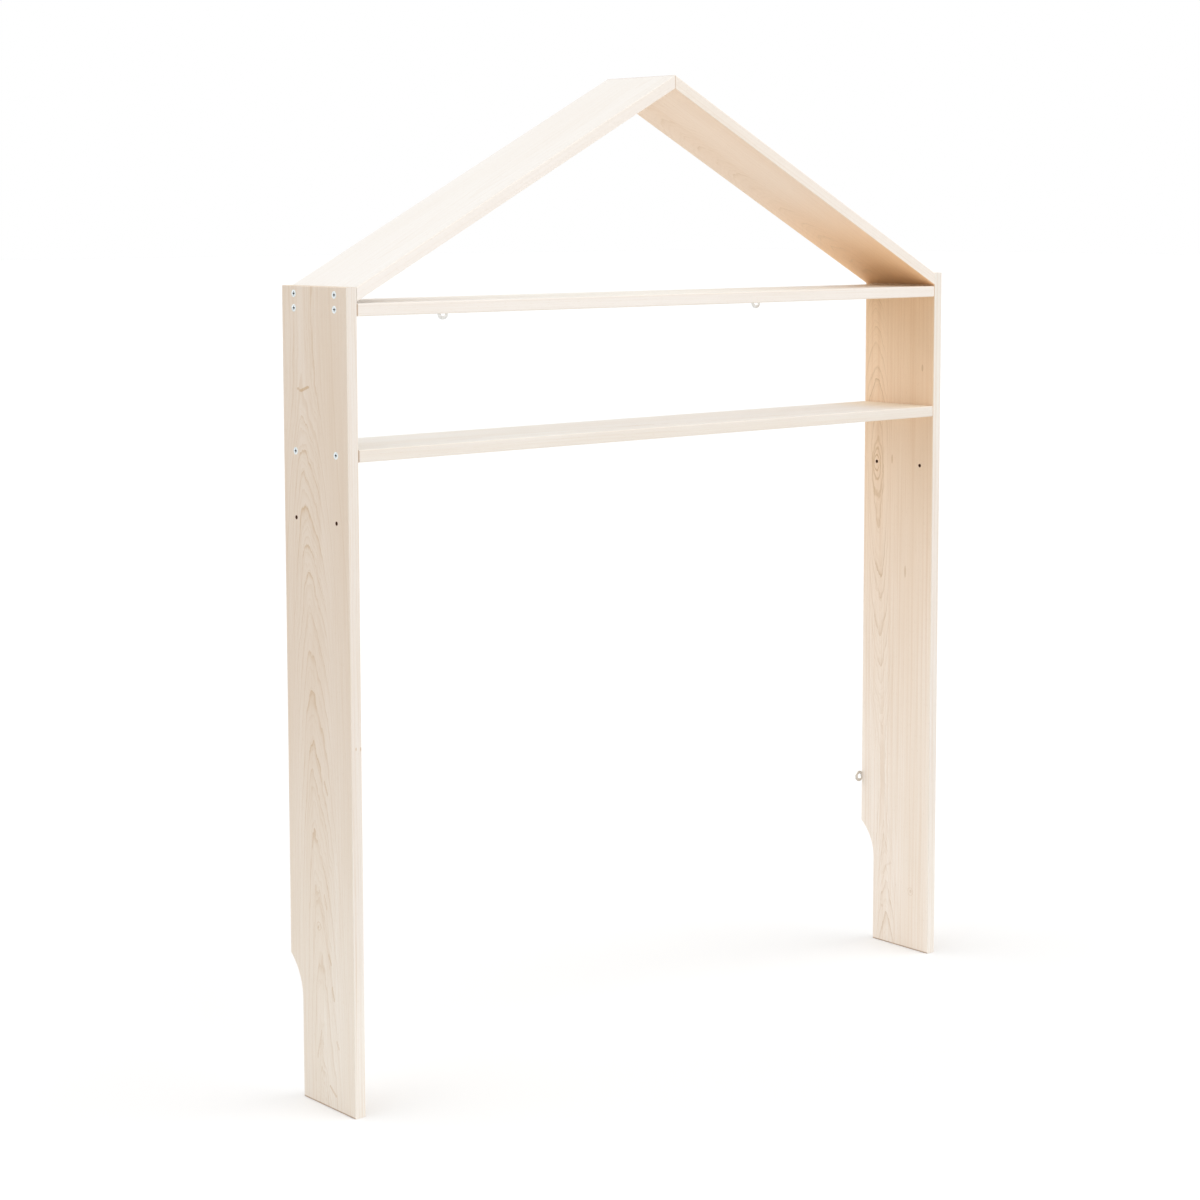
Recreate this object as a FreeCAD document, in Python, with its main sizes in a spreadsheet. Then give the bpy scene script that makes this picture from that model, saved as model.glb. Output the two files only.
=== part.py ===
"""House-shaped wall shelf of solid boards.

Two legs stand on the floor and carry two roof boards and two shelves. Countersunk wood screws through
the legs hold the boards, the ridge is a dowelled mitre, and eye plates let into the back edges take the
wall screws. Millimetres, +Z up, the wall at +Y, the origin on the floor under the middle of the boards.
"""
import FreeCAD
import Part
import Sketcher
import os

# Driving dimensions, each set once
SIZES = {
    # Boards and the outline of the house
    "overall_width": 1240,
    "board_depth": 160,
    "board_thickness": 18,
    "leg_height": 1190,
    "roof_rise": 313,
    "roof_shelf_gap": 2.5,
    "shelf_spacing": 205,
    "spare_hole_drop": 96,
    "frame_arris_radius": 1.5,
    "shelf_arris_radius": 2.5,
    # Cut-out at the back of each foot for a skirting board
    "skirting_depth": 30,
    "skirting_height": 147,
    "skirting_radius": 80,
    # Board screws
    "screw_inset": 30,
    "screw_diameter": 5,
    "screw_length": 60,
    "screw_head_diameter": 11,
    "screw_point_length": 5,
    "recess_span": 5.6,
    "recess_width": 1.5,
    "recess_depth": 2.2,
    "screw_fit": 0.05,
    "roof_screw_drop_share": 0.55,
    "roof_screw_reach_share": 0.8,
    # Dowels across the ridge mitre
    "dowel_diameter": 6,
    "dowel_length": 24,
    "dowel_inset": 40,
    "dowel_drop_share": 0.62,
    "dowel_fit": 0.05,
    # Wall eye plates
    "plate_thickness": 2,
    "plate_length": 40,
    "plate_width": 12,
    "plate_corner_radius": 3,
    "plate_neck_width": 11,
    "plate_fit": 0.2,
    "eye_diameter": 19,
    "eye_hole_diameter": 9,
    "eye_overlap": 2,
    "shelf_plate_offset": 331,
    "leg_plate_height": 291,
    # Plate screws
    "plate_screw_spacing": 27,
    "plate_screw_diameter": 3,
    "plate_screw_length": 16,
    "plate_screw_head_diameter": 6,
    "plate_screw_point_length": 3,
    "plate_recess_span": 3.2,
    "plate_recess_width": 0.9,
    "plate_recess_depth": 1.2,
    # How far a cut runs past the face that it leaves through
    "cut_overrun": 1,
}

# Places worked out from the driving dimensions
PLACES = {
    "half_width": "=overall_width / 2",
    "half_depth": "=board_depth / 2",
    "inner_face": "=half_width - board_thickness",
    "ridge_height": "=leg_height + roof_rise",
    "roof_slope": "=roof_rise / inner_face",
    "roof_plumb": "=board_thickness * sqrt(1 + roof_slope ^ 2)",
    "upper_shelf_middle": "=leg_height - roof_plumb - roof_shelf_gap - board_thickness / 2",
    "lower_shelf_middle": "=upper_shelf_middle - shelf_spacing",
    "spare_hole_height": "=lower_shelf_middle - spare_hole_drop",
    "skirting_face": "=half_depth - skirting_depth",
    "skirting_top": "=skirting_height + sqrt(skirting_radius ^ 2 - (skirting_radius - skirting_depth) ^ 2)",
    "screw_row": "=half_depth - screw_inset",
    "screw_hole": "=screw_diameter + 2 * screw_fit",
    "screw_sink": "=screw_head_diameter + 2 * screw_fit",
    "screw_reach": "=screw_length - board_thickness",
    "roof_screw_height": "=leg_height - roof_plumb * roof_screw_drop_share",
    "roof_screw_room": "=(roof_plumb * (1 - roof_screw_drop_share) - screw_diameter / 2) / roof_slope",
    "roof_screw_reach": "=roof_screw_room * roof_screw_reach_share",
    "roof_screw_length": "=board_thickness + roof_screw_reach",
    "dowel_height": "=ridge_height - roof_plumb * dowel_drop_share",
    "dowel_row": "=half_depth - dowel_inset",
    "dowel_hole": "=dowel_diameter + 2 * dowel_fit",
    "eye_drop": "=board_thickness / 2 - eye_overlap + eye_diameter / 2",
    "eye_chord": "=2 * sqrt(eye_overlap * (eye_diameter - eye_overlap))",
    "plate_screw_hole": "=plate_screw_diameter + 2 * screw_fit",
    "plate_screw_sink": "=plate_screw_head_diameter + 2 * screw_fit",
    "plate_seat_length": "=plate_length + 2 * plate_fit",
    "plate_seat_width": "=plate_width + 2 * plate_fit",
    "plate_neck_seat": "=max(plate_neck_width; eye_chord) + 2 * plate_fit",
}

COUNTERSINK_ANGLE = 90
FULL_TURN = 360
SIDES = {"left": -1, "right": 1}
ROWS = {"front": -1, "back": 1}
X_AXIS = FreeCAD.Vector(1, 0, 0)
Y_AXIS = FreeCAD.Vector(0, 1, 0)
Z_AXIS = FreeCAD.Vector(0, 0, 1)
NEAR = 1e-6

# A sketch's own numbers for its root point and for the points of a line, an arc or a circle
ROOT_POINT = (-1, 1)
START = 1
END = 2
CENTRE = 3


def fill_sheet(doc):
    """Writes the sizes and the places into one sheet, each cell with its own alias."""
    sheet = doc.addObject("Spreadsheet::Sheet", "sizes")
    for row, (name, value) in enumerate({**SIZES, **PLACES}.items(), start=1):
        sheet.set(f"A{row}", name)
        sheet.set(f"B{row}", str(value))
        sheet.setAlias(f"B{row}", name)
    doc.recompute()


def bind(thing, **expressions):
    """Ties properties of a feature to expressions in the sheet's names."""
    for name, expression in expressions.items():
        thing.setExpression(name, expression)


def place(thing, x="0", y="0", z="0", turn=None):
    """Gives a piece its place by expressions, and its turn about an axis in degrees."""
    if turn:
        thing.Placement = FreeCAD.Placement(FreeCAD.Vector(), FreeCAD.Rotation(*turn))
    for axis, expression in zip("xyz", (x, y, z)):
        thing.setExpression(f"Placement.Base.{axis}", expression)


def new_body(doc, label):
    """A body whose label names its piece."""
    body = doc.addObject("PartDesign::Body", label)
    body.Label = label
    return body


def new_sketch(body, name, role, offset="0"):
    """A sketch on one of the body's own planes, moved along that plane's normal by an expression."""
    sketch = body.newObject("Sketcher::SketchObject", name)
    plane = next(feature for feature in body.Origin.OriginFeatures if feature.Role == role)
    sketch.AttachmentSupport = [(plane, "")]
    sketch.MapMode = "FlatFace"
    sketch.setExpression("AttachmentOffset.Base.z", offset)
    return sketch


def value_of(sketch, expression):
    """The number that an expression has now."""
    return float(sketch.evalExpression(expression))


def point_of(sketch, corner):
    """A corner given as two expressions, as a vector in the sketch."""
    return FreeCAD.Vector(value_of(sketch, corner[0]), value_of(sketch, corner[1]), 0)


def hold(sketch, kind, expression, *ends):
    """A dimension of the sketch, tied to an expression."""
    index = sketch.addConstraint(Sketcher.Constraint(kind, *ends, value_of(sketch, expression)))
    sketch.setExpression(f"Constraints[{index}]", expression)


def hold_point(sketch, corner, geometry, point):
    """Holds a point of the sketch at a corner, measured from the sketch's root."""
    hold(sketch, "DistanceX", corner[0], *ROOT_POINT, geometry, point)
    hold(sketch, "DistanceY", corner[1], *ROOT_POINT, geometry, point)


def closed_outline(sketch, corners, arcs=None):
    """A closed outline of straight lines through the corners.

    Arcs are given by the corner where each one starts, counter-clockwise: its centre and its radius.
    """
    arcs = arcs or {}
    followers = corners[1:] + corners[:1]
    segments = []
    for corner, follower in zip(corners, followers):
        start = point_of(sketch, corner)
        end = point_of(sketch, follower)
        piece = Part.LineSegment(start, end)
        if corner in arcs:
            centre, radius = arcs[corner]
            circle = Part.Circle(point_of(sketch, centre), Z_AXIS, value_of(sketch, radius))
            piece = Part.ArcOfCircle(circle, circle.parameter(start), circle.parameter(end))
        segments.append(sketch.addGeometry(piece))
    for segment, follower in zip(segments, segments[1:] + segments[:1]):
        sketch.addConstraint(Sketcher.Constraint("Coincident", segment, END, follower, START))
    for corner, segment in zip(corners, segments):
        hold_point(sketch, corner, segment, START)
        if corner in arcs:
            hold(sketch, "Radius", arcs[corner][1], segment)


def rectangle(sketch, low, high):
    """A rectangle between two corners."""
    closed_outline(sketch, [low, (high[0], low[1]), high, (low[0], high[1])])


def circles(sketch, centres, diameter):
    """Circles of one diameter."""
    for centre in centres:
        circle = Part.Circle(point_of(sketch, centre), Z_AXIS, value_of(sketch, diameter) / 2)
        geometry = sketch.addGeometry(circle)
        hold(sketch, "Diameter", diameter, geometry)
        hold_point(sketch, centre, geometry, CENTRE)


def pad(body, sketch, length, side="One side", reverse=False):
    """Grows a sketch into the body by a length."""
    feature = body.newObject("PartDesign::Pad", f"{sketch.Name}_pad")
    feature.Profile = sketch
    feature.SideType = side
    feature.Reversed = reverse
    bind(feature, Length=length)
    body.Document.recompute()


def confirm_cut(body, feature, before):
    """Stops the build where a cut took nothing away."""
    body.Document.recompute()
    if feature.Shape.Volume > before - NEAR:
        raise RuntimeError(f"{feature.Label} in {body.Label} cuts nothing")


def pocket(body, sketch, depth, reverse=False):
    """Cuts a sketch out of the body to a depth, against the sketch's normal unless reversed."""
    before = body.Shape.Volume
    feature = body.newObject("PartDesign::Pocket", f"{sketch.Name}_cut")
    feature.Profile = sketch
    feature.Reversed = reverse
    bind(feature, Length=depth)
    confirm_cut(body, feature, before)


def countersunk_holes(body, sketch, diameter, sink, depth, reverse=False):
    """Drills the sketch's circles with a countersink at the mouth."""
    before = body.Shape.Volume
    feature = body.newObject("PartDesign::Hole", f"{sketch.Name}_holes")
    feature.Profile = sketch
    feature.ThreadType = "None"
    feature.DepthType = "Dimension"
    feature.DrillPoint = "Flat"
    feature.HoleCutType = "Countersink"
    feature.HoleCutCustomValues = True
    feature.HoleCutCountersinkAngle = COUNTERSINK_ANGLE
    feature.Reversed = reverse
    bind(feature, Diameter=diameter, HoleCutDiameter=sink, Depth=depth)
    confirm_cut(body, feature, before)


def round_over(body, radius, wanted):
    """Rounds those edges of the body that the test wants."""
    base = body.Tip
    before = base.Shape.Volume
    edges = [f"Edge{index}" for index, edge in enumerate(base.Shape.Edges, start=1) if wanted(edge)]
    feature = body.newObject("PartDesign::Fillet", f"{body.Name}_arris")
    feature.Base = (base, edges)
    bind(feature, Radius=radius)
    confirm_cut(body, feature, before)


def lies_in(edge, planes):
    """Whether an edge lies in one of the planes, each given as an axis and a place along it."""
    points = [vertex.Point for vertex in edge.Vertexes]
    return any(all(abs(point.dot(axis) - spot) < NEAR for point in points) for axis, spot in planes)


def runs_along(edge, axis):
    """Whether an edge is straight and parallel to an axis."""
    chord = edge.Vertexes[-1].Point - edge.Vertexes[0].Point
    return chord.cross(axis).Length < NEAR < chord.Length


def row_pair(height):
    """The front and the back hole of a pair, at one height."""
    return [(f"{way} * sizes.screw_row", height) for way in ROWS.values()]


def eye_seat(body, name, spot):
    """Lets the seat of an eye plate into the body's back edge, with the holes of its two screws.

    The spot turns a step along the plate and a step toward its eye into a point on the back edge.
    """
    back = "-sizes.half_depth"
    half_length = "sizes.plate_seat_length / 2"
    half_width = "sizes.plate_seat_width / 2"
    seat = new_sketch(body, f"{name}_seat", "XZ_Plane", back)
    rectangle(seat, spot(f"-{half_length}", f"-{half_width}"), spot(half_length, half_width))
    pocket(body, seat, "sizes.plate_thickness", reverse=True)
    half_neck = "sizes.plate_neck_seat / 2"
    face = "sizes.board_thickness / 2 + sizes.cut_overrun"
    neck = new_sketch(body, f"{name}_neck", "XZ_Plane", back)
    rectangle(neck, spot(f"-{half_neck}", "0"), spot(half_neck, face))
    pocket(body, neck, "sizes.plate_thickness", reverse=True)
    screws = new_sketch(body, f"{name}_screws", "XZ_Plane", back)
    centres = [spot(f"{way} * sizes.plate_screw_spacing / 2", "0") for way in ROWS.values()]
    circles(screws, centres, "sizes.plate_screw_hole")
    depth = "sizes.plate_screw_length"
    countersunk_holes(body, screws, "sizes.plate_screw_hole", "sizes.plate_screw_sink", depth, reverse=True)


def make_leg(doc, side):
    """One leg, with its outer face on the body's own YZ plane."""
    inward = -SIDES[side]
    body = new_body(doc, f"leg_{side}")
    place(body, x=f"{SIDES[side]} * sizes.half_width")
    outline = new_sketch(body, f"leg_{side}_outline", "YZ_Plane")
    notch_top = ("sizes.half_depth", "sizes.skirting_top")
    notch_centre = ("sizes.skirting_face + sizes.skirting_radius", "sizes.skirting_height")
    corners = [
        ("-sizes.half_depth", "0"),
        ("-sizes.half_depth", "sizes.leg_height"),
        ("sizes.half_depth", "sizes.leg_height"),
        notch_top,
        ("sizes.skirting_face", "sizes.skirting_height"),
        ("sizes.skirting_face", "0"),
    ]
    closed_outline(outline, corners, arcs={notch_top: (notch_centre, "sizes.skirting_radius")})
    pad(body, outline, "sizes.board_thickness", reverse=inward < 0)
    screws = new_sketch(body, f"leg_{side}_screws", "YZ_Plane")
    for height in ("sizes.roof_screw_height", "sizes.upper_shelf_middle", "sizes.lower_shelf_middle"):
        circles(screws, row_pair(height), "sizes.screw_hole")
    through = "sizes.board_thickness + sizes.cut_overrun"
    countersunk_holes(body, screws, "sizes.screw_hole", "sizes.screw_sink", through, reverse=inward > 0)
    spare = new_sketch(body, f"leg_{side}_spare", "YZ_Plane")
    circles(spare, row_pair("sizes.spare_hole_height"), "sizes.screw_hole")
    pocket(body, spare, through, reverse=inward > 0)
    eye_seat(
        body,
        f"leg_{side}_eye",
        lambda along, toward: (
            f"{inward} * (sizes.board_thickness / 2 + {toward})",
            f"sizes.leg_plate_height + {along}",
        ),
    )
    sheet = doc.sizes
    faces = [(X_AXIS, 0), (X_AXIS, inward * sheet.board_thickness)]
    rims = [
        (Y_AXIS, -sheet.half_depth),
        (Y_AXIS, sheet.half_depth),
        (Y_AXIS, sheet.skirting_face),
        (Z_AXIS, 0),
        (Z_AXIS, sheet.leg_height),
    ]

    def on_outline(edge):
        """Whether an edge belongs to the leg's outline, on either face."""
        curved = hasattr(edge.Curve, "Radius") and abs(edge.Curve.Radius - sheet.skirting_radius) < NEAR
        return lies_in(edge, faces) and (lies_in(edge, rims) or curved)

    round_over(body, "sizes.frame_arris_radius", on_outline)
    return body


def end_holes(body, name, side, face, height, depth):
    """A pair of screw holes in the end of a board that butts against a leg."""
    sketch = new_sketch(body, f"{name}_{side}", "YZ_Plane", f"{SIDES[side]} * {face}")
    circles(sketch, row_pair(height), "sizes.screw_hole")
    pocket(body, sketch, depth, reverse=SIDES[side] < 0)


def make_roof_board(doc, side):
    """One roof board, plumb-cut at the ridge and at the leg."""
    way = SIDES[side]
    body = new_body(doc, f"roof_board_{side}")
    outline = new_sketch(body, f"roof_{side}_outline", "XZ_Plane")
    corners = [
        ("0", "sizes.ridge_height"),
        ("0", "sizes.ridge_height - sizes.roof_plumb"),
        (f"{way} * sizes.inner_face", "sizes.leg_height - sizes.roof_plumb"),
        (f"{way} * sizes.inner_face", "sizes.leg_height"),
    ]
    closed_outline(outline, corners)
    pad(body, outline, "sizes.board_depth", side="Symmetric")
    end_holes(body, "roof_foot", side, "sizes.inner_face", "sizes.roof_screw_height", "sizes.roof_screw_reach")
    dowels = new_sketch(body, f"roof_{side}_dowels", "YZ_Plane")
    centres = [(f"{row} * sizes.dowel_row", "sizes.dowel_height") for row in ROWS.values()]
    circles(dowels, centres, "sizes.dowel_hole")
    pocket(body, dowels, "sizes.dowel_length / 2", reverse=way > 0)
    down_slope = FreeCAD.Vector(way, 0, -doc.sizes.roof_slope)
    round_over(body, "sizes.frame_arris_radius", lambda edge: runs_along(edge, down_slope))
    return body


def make_shelf(doc, level):
    """One shelf between the legs, rounded over on all its edges; the upper one carries two eye plates."""
    body = new_body(doc, f"{level}_shelf")
    place(body, z=f"sizes.{level}_shelf_middle")
    section = new_sketch(body, f"{level}_shelf_section", "YZ_Plane")
    rectangle(
        section,
        ("-sizes.half_depth", "-sizes.board_thickness / 2"),
        ("sizes.half_depth", "sizes.board_thickness / 2"),
    )
    pad(body, section, "2 * sizes.inner_face", side="Symmetric")
    round_over(body, "sizes.shelf_arris_radius", lambda edge: True)
    for side, way in SIDES.items():
        end_holes(body, f"{level}_shelf_end", side, "sizes.inner_face", "0", "sizes.screw_reach")
        if level == "upper":
            middle = f"{way} * sizes.shelf_plate_offset"
            eye_seat(body, f"shelf_{side}_eye", lambda along, toward: (f"{middle} + {along}", f"-({toward})"))
    return body


def make_screw(doc, label, length, prefix=""):
    """A countersunk wood screw along +X, its head's face at the body's origin.

    The prefix chooses the board screws' sizes or the plate screws' sizes.
    """
    body = new_body(doc, label)
    shank = f"sizes.{prefix}screw_diameter / 2"
    head = f"sizes.{prefix}screw_head_diameter / 2"
    profile = new_sketch(body, f"{label}_profile", "XZ_Plane")
    corners = [
        ("0", "0"),
        ("0", head),
        (f"{head} - {shank}", shank),
        (f"{length} - sizes.{prefix}screw_point_length", shank),
        (length, "0"),
    ]
    closed_outline(profile, corners)
    turned = body.newObject("PartDesign::Revolution", f"{label}_turned")
    turned.Profile = profile
    turned.ReferenceAxis = (profile, ["H_Axis"])
    turned.Angle = FULL_TURN
    doc.recompute()
    recess = new_sketch(body, f"{label}_recess", "YZ_Plane")
    tip = f"sizes.{prefix}recess_span / 2"
    flank = f"sizes.{prefix}recess_width / 2"
    quarter = [(tip, f"-{flank}"), (tip, flank), (flank, flank)]
    turns = [
        lambda u, v: (u, v),
        lambda u, v: (f"-({v})", u),
        lambda u, v: (f"-({u})", f"-({v})"),
        lambda u, v: (v, f"-({u})"),
    ]
    closed_outline(recess, [turn(*corner) for turn in turns for corner in quarter])
    pocket(body, recess, f"sizes.{prefix}recess_depth", reverse=True)
    return body


def make_board_screws(doc):
    """The screws through both legs: into the roof boards and into each shelf's ends."""
    rows = {
        "roof": ("sizes.roof_screw_height", "sizes.roof_screw_length"),
        "upper_shelf": ("sizes.upper_shelf_middle", "sizes.screw_length"),
        "lower_shelf": ("sizes.lower_shelf_middle", "sizes.screw_length"),
    }
    screws = []
    for level, (height, length) in rows.items():
        for side, way in SIDES.items():
            for row, step in ROWS.items():
                screw = make_screw(doc, f"{level}_screw_{side}_{row}", length)
                turn = (Z_AXIS, FULL_TURN / 2) if way > 0 else None
                place(screw, f"{way} * sizes.half_width", f"{step} * sizes.screw_row", height, turn)
                screws.append(screw)
    return screws


def make_dowels(doc):
    """The two dowels across the ridge mitre."""
    dowels = []
    for row, step in ROWS.items():
        dowel = doc.addObject("Part::Cylinder", f"ridge_dowel_{row}")
        dowel.Label = f"ridge_dowel_{row}"
        bind(dowel, Radius="sizes.dowel_diameter / 2", Height="sizes.dowel_length")
        place(
            dowel,
            "-sizes.dowel_length / 2",
            f"{step} * sizes.dowel_row",
            "sizes.dowel_height",
            (Y_AXIS, FULL_TURN / 4),
        )
        dowels.append(dowel)
    return dowels


def make_eye_plate(doc, label):
    """A pressed eye plate: a base on the board's edge and an eye below it, its wall side on the XZ plane."""
    body = new_body(doc, label)
    base = new_sketch(body, f"{label}_base", "XZ_Plane")
    rectangle(
        base,
        ("-sizes.plate_length / 2", "-sizes.plate_width / 2"),
        ("sizes.plate_length / 2", "sizes.plate_width / 2"),
    )
    pad(body, base, "sizes.plate_thickness")
    round_over(body, "sizes.plate_corner_radius", lambda edge: runs_along(edge, Y_AXIS))
    neck = new_sketch(body, f"{label}_stem", "XZ_Plane")
    rectangle(
        neck,
        ("-sizes.plate_neck_width / 2", "-sizes.eye_drop"),
        ("sizes.plate_neck_width / 2", "0"),
    )
    pad(body, neck, "sizes.plate_thickness")
    eye = new_sketch(body, f"{label}_eye", "XZ_Plane")
    circles(eye, [("0", "-sizes.eye_drop")], "sizes.eye_diameter")
    pad(body, eye, "sizes.plate_thickness")
    hole = new_sketch(body, f"{label}_hole", "XZ_Plane")
    circles(hole, [("0", "-sizes.eye_drop")], "sizes.eye_hole_diameter")
    pocket(body, hole, "sizes.plate_thickness + sizes.cut_overrun", reverse=True)
    screws = new_sketch(body, f"{label}_screws", "XZ_Plane")
    centres = [(f"{way} * sizes.plate_screw_spacing / 2", "0") for way in ROWS.values()]
    circles(screws, centres, "sizes.plate_screw_hole")
    countersunk_holes(
        body,
        screws,
        "sizes.plate_screw_hole",
        "sizes.plate_screw_sink",
        "sizes.plate_thickness + sizes.cut_overrun",
        reverse=True,
    )
    return body


def make_wall_fixings(doc, side):
    """The eye plates of one side, on the upper shelf's back and on the leg's back, with their screws."""
    way = SIDES[side]
    pieces = []
    shelf_middle = (f"{way} * sizes.shelf_plate_offset", "sizes.upper_shelf_middle")
    leg_middle = (f"{way} * (sizes.half_width - sizes.board_thickness / 2)", "sizes.leg_plate_height")
    for carrier, middle, along in (("shelf", shelf_middle, (1, 0)), ("leg", leg_middle, (0, 1))):
        plate = make_eye_plate(doc, f"wall_plate_{carrier}_{side}")
        turn = (Y_AXIS, way * FULL_TURN / 4) if carrier == "leg" else None
        place(plate, middle[0], "sizes.half_depth", middle[1], turn)
        pieces.append(plate)
        for number, step in enumerate(ROWS.values(), start=1):
            label = f"plate_screw_{carrier}_{side}_{number}"
            screw = make_screw(doc, label, "sizes.plate_screw_length", prefix="plate_")
            spot = [f"{middle[i]} + {step * along[i]} * sizes.plate_screw_spacing / 2" for i in (0, 1)]
            place(screw, spot[0], "sizes.half_depth", spot[1], (Z_AXIS, -FULL_TURN / 4))
            pieces.append(screw)
    return pieces


def confirm_sound(doc, pieces):
    """Stops the build where a feature failed or a piece is not one sound solid."""
    for thing in doc.Objects:
        if "Invalid" in thing.State or "Error" in thing.State:
            raise RuntimeError(f"{thing.Label} did not build: {thing.State}")
    for piece in pieces:
        if piece.Shape.isNull() or not piece.Shape.isValid() or len(piece.Shape.Solids) != 1:
            raise RuntimeError(f"{piece.Label} is not one sound solid")


def main():
    """Builds every piece and writes each to its own file."""
    doc = FreeCAD.newDocument("house_shelf")
    fill_sheet(doc)
    pieces = []
    for side in SIDES:
        pieces.append(make_leg(doc, side))
        pieces.append(make_roof_board(doc, side))
    for level in ("upper", "lower"):
        pieces.append(make_shelf(doc, level))
    pieces += make_dowels(doc)
    pieces += make_board_screws(doc)
    for side in SIDES:
        pieces += make_wall_fixings(doc, side)
    doc.recompute()
    confirm_sound(doc, pieces)
    os.makedirs("parts", exist_ok=True)
    for piece in pieces:
        piece.Shape.exportStep(f"parts/{piece.Label}.step")
        box = piece.Shape.BoundBox
        print(f"{piece.Label}: {box.XLength:.1f} x {box.YLength:.1f} x {box.ZLength:.1f}")


main()
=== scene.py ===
"""Dresses the house-shaped wall shelf: maple grain on its boards, plated finishes on its metal.

The boards keep their built shapes and get a solid wood grain, cut from growth rings that run through each
board. The screws and the wall plates get eased edges. A plain studio with a pale floor shows the shelf at
the photograph's angle. All lengths are metres.
"""

import logging
import math
from dataclasses import dataclass
from enum import Enum

import bpy
from mathutils import Matrix, Vector

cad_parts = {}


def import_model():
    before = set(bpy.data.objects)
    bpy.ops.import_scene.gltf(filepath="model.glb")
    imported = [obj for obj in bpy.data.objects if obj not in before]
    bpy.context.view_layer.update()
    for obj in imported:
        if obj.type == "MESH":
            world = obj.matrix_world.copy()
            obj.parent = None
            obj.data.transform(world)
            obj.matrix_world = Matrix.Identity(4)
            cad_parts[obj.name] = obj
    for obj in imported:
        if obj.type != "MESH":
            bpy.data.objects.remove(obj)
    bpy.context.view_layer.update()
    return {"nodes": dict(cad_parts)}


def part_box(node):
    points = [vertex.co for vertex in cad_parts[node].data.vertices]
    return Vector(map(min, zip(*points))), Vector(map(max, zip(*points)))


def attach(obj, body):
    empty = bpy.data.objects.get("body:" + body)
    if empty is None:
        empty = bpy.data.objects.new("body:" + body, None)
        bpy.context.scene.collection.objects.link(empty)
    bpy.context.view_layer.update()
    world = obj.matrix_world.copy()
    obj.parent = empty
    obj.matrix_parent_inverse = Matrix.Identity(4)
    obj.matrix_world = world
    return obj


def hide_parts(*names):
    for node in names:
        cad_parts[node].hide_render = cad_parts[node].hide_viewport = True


LOG = logging.getLogger("house_shelf")
BODY = "root"
FRAME_PIXELS = 1200
LEG_OUTER = 0.620
LEG_INNER = 0.602
ROOF_RUN = LEG_INNER
ROOF_RISE = 0.313
ROWS = ("front", "back")

# Where a face starts to count as a board's narrow edge or its end, and where it fully does, by the cosine.
EDGE_COSINES = (0.55, 0.85)
END_COSINES = (0.80, 0.98)

WHITE = (1.0, 1.0, 1.0, 1.0)
SEEN_RAYS = ("Camera", "Glossy", "Transmission")

Socket = bpy.types.NodeSocket
Nodes = dict[str, bpy.types.Object]
Pair = tuple[float, float]
Triple = tuple[float, float, float]
Colour = tuple[float, float, float, float]
Feed = Socket | float | tuple


class Side(Enum):
    """A side of the shelf, as seen from the front."""

    LEFT = "left"
    RIGHT = "right"

    def place(self, away: float) -> float:
        """The x of what lies so far from the middle on this side."""
        return -away if self is Side.LEFT else away


class Axis(Enum):
    """An axis of the shelf, by its number in a vector."""

    WIDTH = 0
    DEPTH = 1
    HEIGHT = 2


class GrainRun(Enum):
    """The way that a board's grain runs."""

    UPRIGHT = (0.0, 0.0, 1.0)
    LEVEL = (1.0, 0.0, 0.0)
    DOWN_LEFT = (-ROOF_RUN, 0.0, -ROOF_RISE)
    DOWN_RIGHT = (ROOF_RUN, 0.0, -ROOF_RISE)

    def way(self) -> Vector:
        """The direction, one long."""
        return Vector(self.value).normalized()

    def words(self) -> str:
        """The run's name in plain words."""
        return self.name.lower().replace("_", " ")


@dataclass(frozen=True)
class Pattern:
    """A noise pattern: its scale by axis, its shift beside the seed, and its finer layers' number and strength."""

    scale: Triple
    shift: float = 0.0
    detail: float = 2.0
    roughness: float = 0.5


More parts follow.
